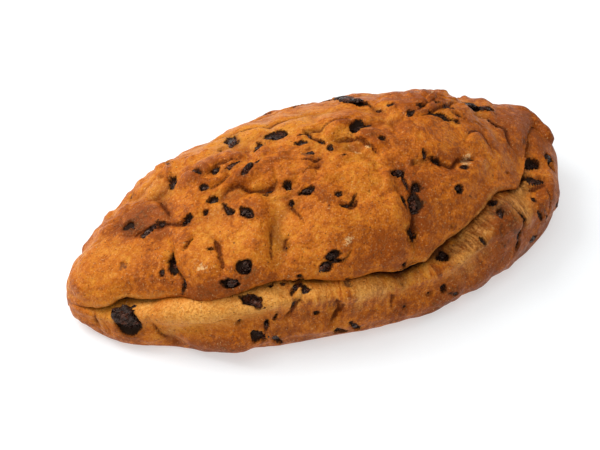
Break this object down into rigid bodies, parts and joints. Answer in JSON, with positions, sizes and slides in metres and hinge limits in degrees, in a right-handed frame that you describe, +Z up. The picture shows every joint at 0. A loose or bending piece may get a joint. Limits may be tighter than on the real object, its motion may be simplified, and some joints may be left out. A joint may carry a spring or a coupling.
{
  "type": "stollen",
  "caption": "Whole baked fruit loaf of folded yeast dough: a domed flap lies over a lower layer, raisins stand out of a brown uneven crust.",
  "frame": {"origin": "middle of the loaf's box, on the surface that it rests on", "axes": "+X along the loaf towards its blunt right end, +Y away from the open fold, towards the closed back, +Z up"},
  "size_m": [0.2828, 0.145, 0.0769],
  "materials": {
    "crust": "baked crust, satin, golden to dark brown",
    "raisin": "wrinkled dried skin, satin, near black"
  },
  "bodies": {
    "root": {"loaf": "crust"}
  },
  "joints": []
}
